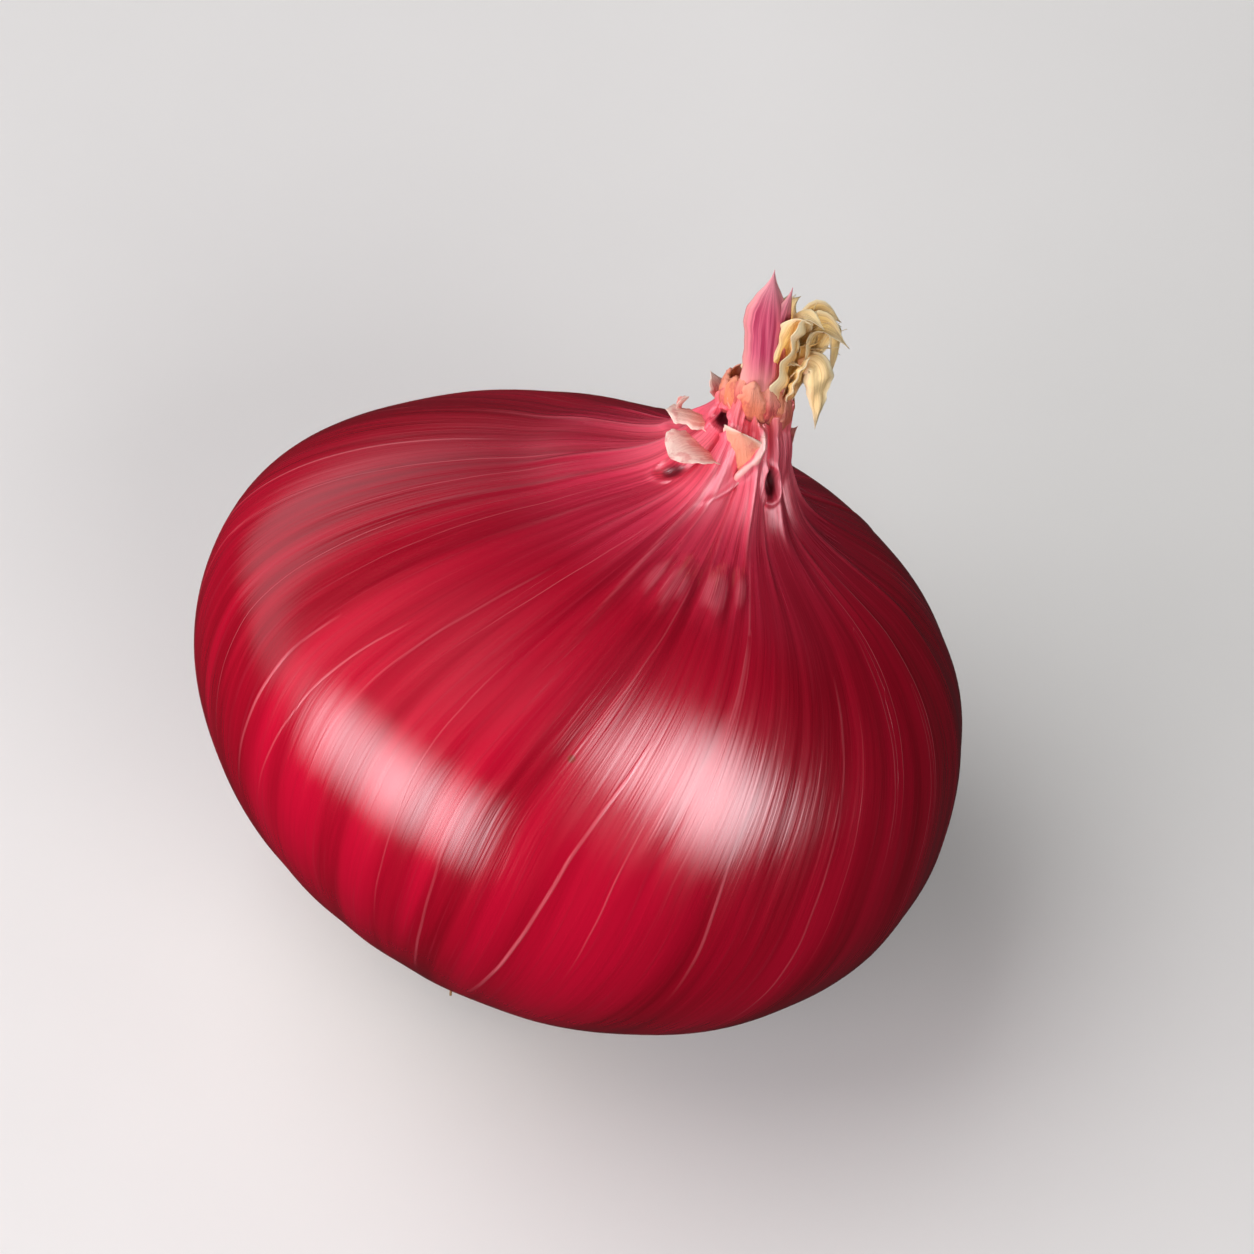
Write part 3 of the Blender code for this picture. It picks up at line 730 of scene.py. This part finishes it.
scrap_finish = papery_finish("torn_scraps_papery", (0.42, 0.02, 0.05), (0.68, 0.12, 0.13),
                             (0.88, 0.38, 0.32), (0.88, 0.36, 0.19), (0.97, 0.76, 0.66))
rings, place = strips_block(SCRAPS, SCRAP_TINTS)
add_piece("torn_scraps", rings, scrap_finish, "onion_skin", ["bulb"], place=place)

# %% [markdown]
# ## The sheath of the neck
#
# Above the waist the last leaf bases have dried into a knot of thick lobes, coral red, that closes
# round the straw; the dark gaps between them are painted shade at the lobes' feet. Each lobe is a
# strip too, but a thick one with a round end: it leaves the stump outwards and bends back in over
# its edge.

# %% Make the sheath
SHEATH_REACH = 2.75
# angle in degrees, height of the foot, length and width of each lobe in mm
SHEATH = (
    (226, 33.8, 3.2, 2.8), (250, 34.4, 3.2, 2.6), (277, 34, 3.9, 2.9), (304, 34.4, 3.2, 2.4),
    (330, 33.9, 4, 2.7), (356, 33, 4.4, 3), (24, 33.2, 4.4, 2.8), (52, 33, 4.6, 3),
    (80, 33.2, 4, 2.8), (108, 33, 3.8, 3), (136, 33.2, 3.2, 2.8), (162, 33, 3.1, 3),
    (187, 33.2, 2.8, 2.8), (207, 33, 3, 2.6),
)
sheath_draw = seeded(3)
lean_shifts = sheath_draw.uniform(-6, 6, len(SHEATH))
lobe_twists = sheath_draw.uniform(-0.6, 0.6, len(SHEATH))
sheath_rows = [
    (foot, SHEATH_REACH, (turn, (24 + shift, -16 + 2 * shift), (0.1, 0.7), long, wide, -0.35, 0.5),
     dict(twist=twist))
    for (turn, foot, long, wide), shift, twist in zip(SHEATH, lean_shifts, lobe_twists)]
sheath_finish = papery_finish("neck_sheath_coral", (0.22, 0.006, 0.02), (0.5, 0.035, 0.05),
                              (0.76, 0.15, 0.13), (0.86, 0.3, 0.13), (0.9, 0.38, 0.26))
rings, place = strips_block(sheath_rows, thickness=0.55, ragged=0.15, rounding=0.5, flute=0.13)
add_piece("neck_sheath", rings, sheath_finish, "onion_skin", ["bulb"], place=place)

# %% [markdown]
# ## The inner leaf's tip
#
# One young leaf dried before it could wither away. It stands in front of the straw as a pointed
# blade, deep rose with paler edges and fine stripes along it. Two strips, one behind the other,
# give it the folded look of the real one.

# %% Make the inner leaf's tip
LEAF_TIP = (
    (36.4, 2.7, (294, (0, 2), (0, 1), 12.2, 4.2, -0.4, 0.42), dict(ragged=0.05, flute=0.09)),
    (36.4, 2.5, (330, (0, 8), (0, 1), 10.9, 3.2, -0.5, 0.4), dict(ragged=0.06, flute=0.09)),
)


def leaf_tip_finish():
    """Stripes along the blade between rose and pale pink, paler at the edges and the point."""
    r = Recipe("leaf_tip_rose", (0.42, 0.02, 0.08))
    place, share, across, _ = r.strip()
    stripes = r.stretched(place, (1.2, 13, 5), 3, 0.5)
    fine = r.stretched(place, (3, 60, 5), 2, 0.5)
    r.lay((0.74, 0.13, 0.22), r.ramp(stripes, 0.38, 0.62))
    r.lay((0.86, 0.4, 0.36), r.edges(across, 0.6, 0.65))
    r.lay((0.9, 0.42, 0.46), r.ramp(share, 0.6, 1.0, 0, 0.65))
    r.lay((0.9, 0.4, 0.34), r.ramp(share, 0, 0.35, 0.7, 0))
    height = r.math("MULTIPLY_ADD", fine, 0.5, stripes)
    return r.finish(r.ramp(fine, 0.3, 0.7, 0.38, 0.6), height, 0.07 * MM)


rings, place = strips_block(LEAF_TIP, thickness=0.22)
add_piece("leaf_tip", rings, leaf_tip_finish(), "onion_skin", ["bulb"], place=place)

# %% [markdown]
# ## The straw in the neck
#
# The leaves that the onion grew from have dried to straw: a bundle that stands in the neck's
# socket and leans to the right, with tops that crumple over and blades that hang down again. A
# ribbon seen on its edge is only a line, so each blade also has a roll, which turns its face.

# %% Table of the straw blades
STRAW_FOOT = 36.0
# height and reach of the foot in mm, the strip's row, and its roll
STRAW_BLADES = (
    (STRAW_FOOT, 2, (12, (12, 28), (0.3, 0.9), 9.4, 2.6, -0.3, 0.3), -0.8),
    (STRAW_FOOT, 2.2, (342, (13, 106), (0.72, 0.95), 11.4, 2.9, -0.35, 0.3), -0.5),
    (STRAW_FOOT, 2.2, (20, (17, 112), (0.66, 0.95), 11.4, 2.8, -0.35, 0.3), -0.9),
    (STRAW_FOOT, 1.8, (334, (14, 84), (0.74, 1), 10.4, 2.8, -0.35, 0.3), 0.3),
    (STRAW_FOOT, 1.2, (45, (12, 60), (0.7, 1), 9.4, 2.6, -0.35, 0.3), -0.8),
    (STRAW_FOOT, 1, (90, (4, 34), (0.5, 1), 7.4, 2.6, -0.3, 0.3), 0.4),
    (STRAW_FOOT, 1.2, (140, (2, 20), (0.5, 1), 6, 2.4, -0.3, 0.4), -0.3),
    (36.6, 3.4, (342, (16, 26), (0.2, 1), 5.4, 1.5, -0.3, 0.3), -0.4),
    (40.2, 4, (350, (52, 180), (0.1, 0.38), 8, 2.2, 0.3, 0.5), -1.0),
    (STRAW_FOOT, 2.6, (10, (24, 186), (0.56, 0.7), 14.6, 1.6, 0.3, 0.4), -0.9),
    (STRAW_FOOT, 2.3, (4, (19, 118), (0.6, 0.9), 11.6, 2.7, -0.3, 0.35), -0.4),
    (STRAW_FOOT, 2, (30, (20, 96), (0.55, 0.9), 10.6, 2.5, -0.3, 0.35), -1.1),
)
BLADE_LOOK = dict(ragged=0.15, thickness=0.26, flute=0.15, crumple=0.16)
blade_rows = [(*blade, dict(BLADE_LOOK, roll=roll)) for *blade, roll in STRAW_BLADES]

# narrow shreds at drawn angles round the bundle, leaning right with it and curling over
THIN_STRAW_COUNT, CORE_FOOT = 14, RIM_HEIGHT / MM - 3.6
straw_draw = seeded(21).uniform(
    (0, 6, 10, 5, 0.7, 0.3, -1.2), (0.8, 20, 90, 9.4, 1.5, 0.6, 0.6), (THIN_STRAW_COUNT, 7))
thin_rows = [
    (STRAW_FOOT, 1.6, ((330 + 110 * (i + shift) / THIN_STRAW_COUNT) % 360, (lean, lean + more),
                       (0.5, 1.0), length, width, -0.3, tip),
     dict(ragged=0.12, thickness=0.14, roll=roll))
    for i, (shift, lean, more, length, width, tip, roll) in enumerate(straw_draw)]
core_rows = [(CORE_FOOT, 0.75, (turn, (0, 8), (0, 1), 5.6, 1.9, -0.45, 0.3),
              dict(ragged=0.05, thickness=0.5)) for turn in range(0, 360, 45)]
straw_rows = blade_rows + thin_rows + core_rows
print(len(straw_rows), "strips of straw")


# %% Make the straw blades and their core
def straw_finish():
    """Straw yellow with darker fibres along it, brown at the foot as painted shade among the
    blades, a painted highlight along the edges, and bleached at the tips.
    """
    r = Recipe("straw_fibrous", (0.6, 0.28, 0.06))
    place, share, across, tint = r.strip()
    fibres = r.stretched(place, (2.2, 26, 11), 3, 0.6)
    broad = r.stretched(place, (1.5, 7, 13), 2, 0.5)
    r.lay((0.97, 0.66, 0.2), r.ramp(fibres, 0.3, 0.6))
    r.lay((0.99, 0.76, 0.4), r.ramp(tint, 0.35, 0.9, 0, 0.7))
    r.lay((0.66, 0.34, 0.11), r.ramp(broad, 0.54, 0.74, 0, 0.5))
    # painted shade at the foot of the blades
    r.lay((0.72, 0.24, 0.1), r.ramp(share, 0, 0.24, 0.7, 0))
    # painted highlight along the edges
    r.lay((0.99, 0.88, 0.6), r.edges(across, 0.55, 0.7))
    r.lay((0.96, 0.84, 0.58), r.ramp(share, 0.7, 1.0, 0, 0.5))
    return r.finish(r.ramp(fibres, 0.3, 0.7, 0.5, 0.8), fibres, 0.1 * MM)


rings, place = strips_block(straw_rows)
add_piece("neck_straw_blades", rings, straw_finish(), "dry_straw", ["neck_straw"], place=place)

# %% [markdown]
# ## Loose fibres
#
# Where the straw frays, single fibres stand off it. They are tubes of five sides that thin out
# towards their ends. A few dozen faces are enough for a tenth of a millimetre or two.

# %% Tubes along many paths at once
TUBE_SIDES, HELPER_DIRECTION = 5, np.array([0.31, 0.87, 0.38])


def tube_rings(paths, thick):
    """Five-sided rings round many paths at once, an array (path, point, xyz) with its radii.

    Two directions across each path come from its heading and a fixed helper direction, and a ring
    is their cosine and sine mixture times the radius.
    """
    ahead = unit(np.gradient(paths, axis=1))
    across = unit(np.cross(ahead, HELPER_DIRECTION))
    other = np.cross(ahead, across)
    turn = round_angles(TUBE_SIDES)[:, None]
    ring = across[:, :, None] * np.cos(turn) + other[:, :, None] * np.sin(turn)
    return paths[:, :, None] + ring * thick[:, :, None, None]


def tube_place(share, tint):
    """Share along, share round and the tint of each point, laid out as tube_rings does."""
    parts = share[None, :, None], np.linspace(0, 1, TUBE_SIDES), tint[:, None, None]
    return np.stack(np.broadcast_arrays(*parts), -1)


# %% Make the fibres
FIBRE_COUNT, FIBRE_POINTS, FIBRE_FOOT = 30, 8, np.array([2.6, 0.6, 40.5]) * MM
fibre_draw = seeded(31)
turn = np.radians(fibre_draw.uniform(310, 430, FIBRE_COUNT))
lean = np.radians(fibre_draw.uniform(12, 75, FIBRE_COUNT))
length = fibre_draw.uniform(2.4, 5.6, FIBRE_COUNT) * MM
share = np.linspace(0, 1, FIBRE_POINTS)
bend = fibre_draw.uniform(-0.9, 0.9, (FIBRE_COUNT, 2))
lean_now = lean[:, None] + bend[:, :1] * share**1.5
turn_now = turn[:, None] + bend[:, 1:] * share
ahead = round_axis(np.sin(lean_now), np.cos(lean_now), turn_now)
stride = (length / FIBRE_POINTS)[:, None, None]
paths = FIBRE_FOOT + neck_sway(FIBRE_FOOT[2]) + np.cumsum(ahead * stride, 1)
thick = fibre_draw.uniform(0.05, 0.1, FIBRE_COUNT)[:, None] * MM * (1 - 0.7 * share)
place = tube_place(share, fibre_draw.uniform(0, 1, FIBRE_COUNT))
add_piece("neck_fibres", stood(tube_rings(paths, thick)), straw_finish(), "dry_straw",
          ["neck_straw"], place=place)

# %% [markdown]
# ## The root plate
#
# Under the bulb sits a corky disc, the stem that the roots grew from. It is a turned form too,
# from the middle of its hidden top to the middle of its underside, which a sum of rings and lumps
# makes rough. The real one is full of pits where roots have broken off, so cells of a Voronoi
# pattern do the rest in its finish.

# %% Make the root plate
PLATE_RADIUS, PLATE_TOP = DIMPLE_RADIUS - GAP, (DIMPLE_DEPTH - ROOT_DEPTH - GAP) / MM
PLATE_FLOOR, LUMP_HEIGHT = 0.55 * MM, 0.16 * MM
plate_profile = np.array(
    [(0.5, PLATE_TOP), (6.5, PLATE_TOP), (7.6, PLATE_TOP - 0.1)]
    + [(7.7, PLATE_TOP - drop) for drop in (0.4, 0.8, 1.1)]
    + [(7.7 * s, -26.3 + 0.45 + 0.85 * s**3) for s in np.linspace(0.985, 0.05, 44)]) * MM
r, h, turn = np.broadcast_arrays(plate_profile[:, :1], plate_profile[:, 1:], round_angles(150))
lumps = (np.sin(5 * turn + 900 * r) * np.cos(1500 * r + 2 * np.sin(3 * turn))
         + 0.6 * np.sin(13 * turn + 1) * np.cos(2600 * r) + 0.4 * np.sin(29 * turn))
under = smooth_step(np.arange(len(plate_profile))[:, None], 5, 9)
waved = r * (1 + 0.012 * np.sin(4 * turn) - 0.015 - 0.01 * np.abs(np.sin(17 * turn)))
plate_rings = stood(round_axis(waved, h + LUMP_HEIGHT * lumps * under, turn))
plate_rings[..., 2] = np.maximum(plate_rings[..., 2], PLATE_FLOOR)


def root_plate_finish():
    """Tan cork with brown pits and paler crumbs."""
    r = Recipe("root_plate_cork", (0.3, 0.15, 0.05))
    spot = r.spot()
    cork = r.noise(spot, 900, 5, 0.65)
    pits = r.ramp(r.node("TexVoronoi", "Distance", Vector=spot, Scale=1100), 0.15, 0.42, 1, 0)
    r.lay((0.66, 0.44, 0.2), r.ramp(cork, 0.35, 0.65))
    r.lay((0.09, 0.035, 0.012), pits, 0.75)
    r.lay((0.82, 0.66, 0.4), r.ramp(r.noise(spot, 350), 0.55, 0.7, 0, 0.6))
    height = r.math("MULTIPLY_ADD", pits, -0.7, cork)
    return r.finish(r.ramp(cork, 0.3, 0.7, 0.8, 0.95), height, 0.25 * MM, Sheen_Weight=0.1)


add_piece("root_plate", plate_rings[None], root_plate_finish(), "dry_roots", ["root_tuft"])

# %% [markdown]
# ## The roots
#
# A cured onion keeps a tuft of short dry roots. The golden angle spreads their feet evenly over
# the plate, as seeds lie in a sunflower. Each root leans outwards and curls a little at random,
# and where one would reach the table it bends away along it. All are worked out in one go as an
# array of root, point and coordinate.

# %% Paths of the roots
ROOT_COUNT, ROOT_POINTS, ROOT_CLEARANCE, ROOT_EASE = 210, 7, 0.75 * MM, 0.25 * MM
root_draw = seeded(11)
i = np.arange(ROOT_COUNT)
ring = PLATE_RADIUS * 0.94 * np.sqrt((i + 0.5) / ROOT_COUNT)
turn = i * math.pi * (3 - math.sqrt(5)) + root_draw.uniform(-0.12, 0.12, ROOT_COUNT)
out, around = round_axis(1, 0 * turn, turn), round_axis(1, 0 * turn, turn + np.pi / 2)
length = root_draw.uniform(1.8, 3.9, ROOT_COUNT) * MM
spread = 0.15 + 0.6 * ring / PLATE_RADIUS + root_draw.uniform(-0.1, 0.15, ROOT_COUNT)
curl = root_draw.uniform(-1.3, 1.3, ROOT_COUNT)
step = np.arange(ROOT_POINTS)
lean = spread[:, None] * (0.25 + 0.22 * step) + 0.25 * np.sin(1.7 * step + i[:, None])
facing = unit(out[:, None] + around[:, None] * (curl[:, None] * 0.26 * step)[..., None])
ahead = facing * np.sin(lean)[..., None] - UP * np.cos(lean)[..., None]
stride = (length / (ROOT_POINTS - 1))[:, None, None]
foot = out * ring[:, None] - UP * (ROOT_DEPTH - 1.3 * MM)
paths = stood(foot[:, None] + np.cumsum(ahead * stride, 1) - ahead[:, :1] * 0.6 * MM)
# the height above the clearance is log(1 + e^x), which is never below 0 and bends there softly
above = (paths[..., 2] - ROOT_CLEARANCE) / ROOT_EASE
paths[..., 2] = ROOT_CLEARANCE + np.logaddexp(0, above) * ROOT_EASE
thick = root_draw.uniform(0.16, 0.34, ROOT_COUNT)[:, None] * MM * (1.1 - 0.7 * step / ROOT_POINTS)


# %% Make the roots
def root_finish():
    """Dry roots from dark brown at the foot to pale straw, each with its own tint."""
    r = Recipe("dry_root_fibres", (0.26, 0.13, 0.045))
    _, share, _, tint = r.strip()
    bark = r.noise(r.spot(), 1600, 3, 0.6)
    r.lay((0.74, 0.53, 0.27), tint)
    r.lay((0.2, 0.09, 0.03), r.ramp(share, 0, 0.4, 0.6, 0))
    r.lay((0.85, 0.68, 0.42), r.ramp(bark, 0.45, 0.7, 0, 0.5))
    return r.finish(r.ramp(bark, 0.3, 0.7, 0.7, 0.9), bark, 0.06 * MM)


place = tube_place(step / ROOT_POINTS, root_draw.uniform(0, 1, ROOT_COUNT))
add_piece("dry_roots", tube_rings(paths, thick), root_finish(), "dry_roots", ["root_tuft"],
          place=place)

# %% [markdown]
# ## Table, light and camera
#
# The photograph was taken from about 50 degrees above the table with soft window light: one low
# broad window to the left, a taller one at the front right, and a bright room behind that lays a
# dusty sheen over the shoulder. Area lamps stand in for them, placed by mirroring the camera's
# line in the skin where the photograph has its highlights. To set highlights and shade apart, the
# front window shows only in reflections and three more lamps only as plain light, and the table
# stays out of reflections and bounced light.

# %% The table
TABLE_REACH, TABLE_DROP = 4.0, 0.1 * MM
mesh = bpy.data.meshes.new("table")
corners = ((-1, -1), (1, -1), (1, 1), (-1, 1))
mesh.from_pydata([(x * TABLE_REACH, y * TABLE_REACH, -TABLE_DROP) for x, y in corners], [],
                 [(0, 1, 2, 3)])
table = bpy.data.objects.new("table", mesh)
scene.collection.objects.link(table)
matt = Recipe("pale_table", (0.74, 0.73, 0.715))
cloudy = matt.noise(matt.spot(), 14, 4, 0.6)
matt.lay((0.8, 0.79, 0.775), cloudy)
mesh.materials.append(matt.finish(matt.ramp(cloudy, 0.3, 0.7, 0.75, 0.9)))
table.visible_glossy = table.visible_diffuse = False
table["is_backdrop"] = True


# %% Soft lamps and a dim room
def aimed(name, data, target, azimuth, elevation, distance):
    """An object that looks at the target from this direction in degrees and distance."""
    a, e = np.radians([azimuth, elevation])
    toward = Vector(round_axis(np.cos(e), np.sin(e), a))
    made = bpy.data.objects.new(name, data)
    made.location = Vector(target) * MM + toward * distance
    made.rotation_euler = (-toward).to_track_quat("-Z", "Y").to_euler()
    scene.collection.objects.link(made)
    return made


def soft_lamp(name, azimuth, elevation, distance, wide, high, shown, fade=0, tint=(1, 1, 1),
              sides=(1, 1), glossy=True, diffuse=True):
    """An area lamp that faces the onion from a direction, as bright as shown.

    Its power is pi times its brightness times its area. The fade is a smooth step of the distance
    from its middle, across and up, over this share of its half size, and its brightness goes
    evenly from one of sides to the other.
    """
    data = bpy.data.lights.new(name, "AREA")
    data.shape, data.size, data.size_y = "RECTANGLE", wide, high
    data.energy, data.color = shown * math.pi * wide * high, tint
    if fade > 0:
        data.use_nodes = True
        n = Nodes(data.node_tree)
        place = n.node("NewGeometry", "Parametric")
        strength = n.math("MULTIPLY_ADD", n.part(place, "X"), sides[1] - sides[0], sides[0])
        for axis in "XY":
            off = n.math("ABSOLUTE", n.math("SUBTRACT", n.part(place, axis), 0.5))
            strength = n.times(strength, n.ramp(off, 0.5 * (1 - fade), 0.5, 1, 0))
        n.put(n.tree.nodes["Emission"].inputs["Strength"], strength)
    lamp = aimed(name, data, LAMP_TARGET, azimuth, elevation, distance)
    lamp.visible_camera, lamp.visible_glossy, lamp.visible_diffuse = False, glossy, diffuse


LAMP_TARGET = (-2, -2, 30)
soft_lamp("left_window", 213, 14, 0.62, 0.98, 0.72, 7.2, 0.92, (1, 0.94, 1), (0.3, 1.25))
soft_lamp("front_window", 318, 35, 0.7, 0.68, 1.15, 7.5, 0.85, (1, 0.94, 0.985), diffuse=False)
soft_lamp("room_behind", 138, 12, 0.95, 2.6, 0.8, 0.61, 0.8, (1, 0.93, 1))
soft_lamp("front_fill", 294, 31, 0.9, 0.5, 0.5, 4.9, glossy=False)
soft_lamp("ceiling", 168, 55, 1.1, 1.2, 1.2, 2.3, glossy=False)
soft_lamp("back_fill", 92, 10, 0.95, 0.9, 0.5, 1.3, glossy=False)

world = bpy.data.worlds.new("dim_room")
scene.world = world
world.use_nodes = True
background = world.node_tree.nodes["Background"].inputs
background["Color"].default_value = (0.95, 0.97, 1.0, 1)
background["Strength"].default_value = 0.02

# %% The camera, 50 degrees above the table
CAMERA_DISTANCE, FRAME_WIDTH = 0.95, 112 * MM
data = bpy.data.cameras.new("camera")
data.sensor_width = 36.0
data.lens = data.sensor_width * CAMERA_DISTANCE / FRAME_WIDTH
data.dof.use_dof = False
camera = aimed("camera", data, (-1.5, -0.5, 32), -90, 50, CAMERA_DISTANCE)
scene.camera = camera
scene.view_settings.view_transform = "Standard"
print("lens", round(data.lens, 1), "mm")

# %% [markdown]
# ## Sizes
#
# Last, the box of the dressed onion is set beside the CAD model's box, to see that nothing
# stands outside it: how far it passes is printed.

# %% Print how far the dressed onion passes the CAD box
low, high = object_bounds()
past = np.maximum([np.subtract(cad_low, low), np.subtract(high, cad_high)], 0)
print("outside the CAD box by mm", np.round(past / MM, 2).tolist())
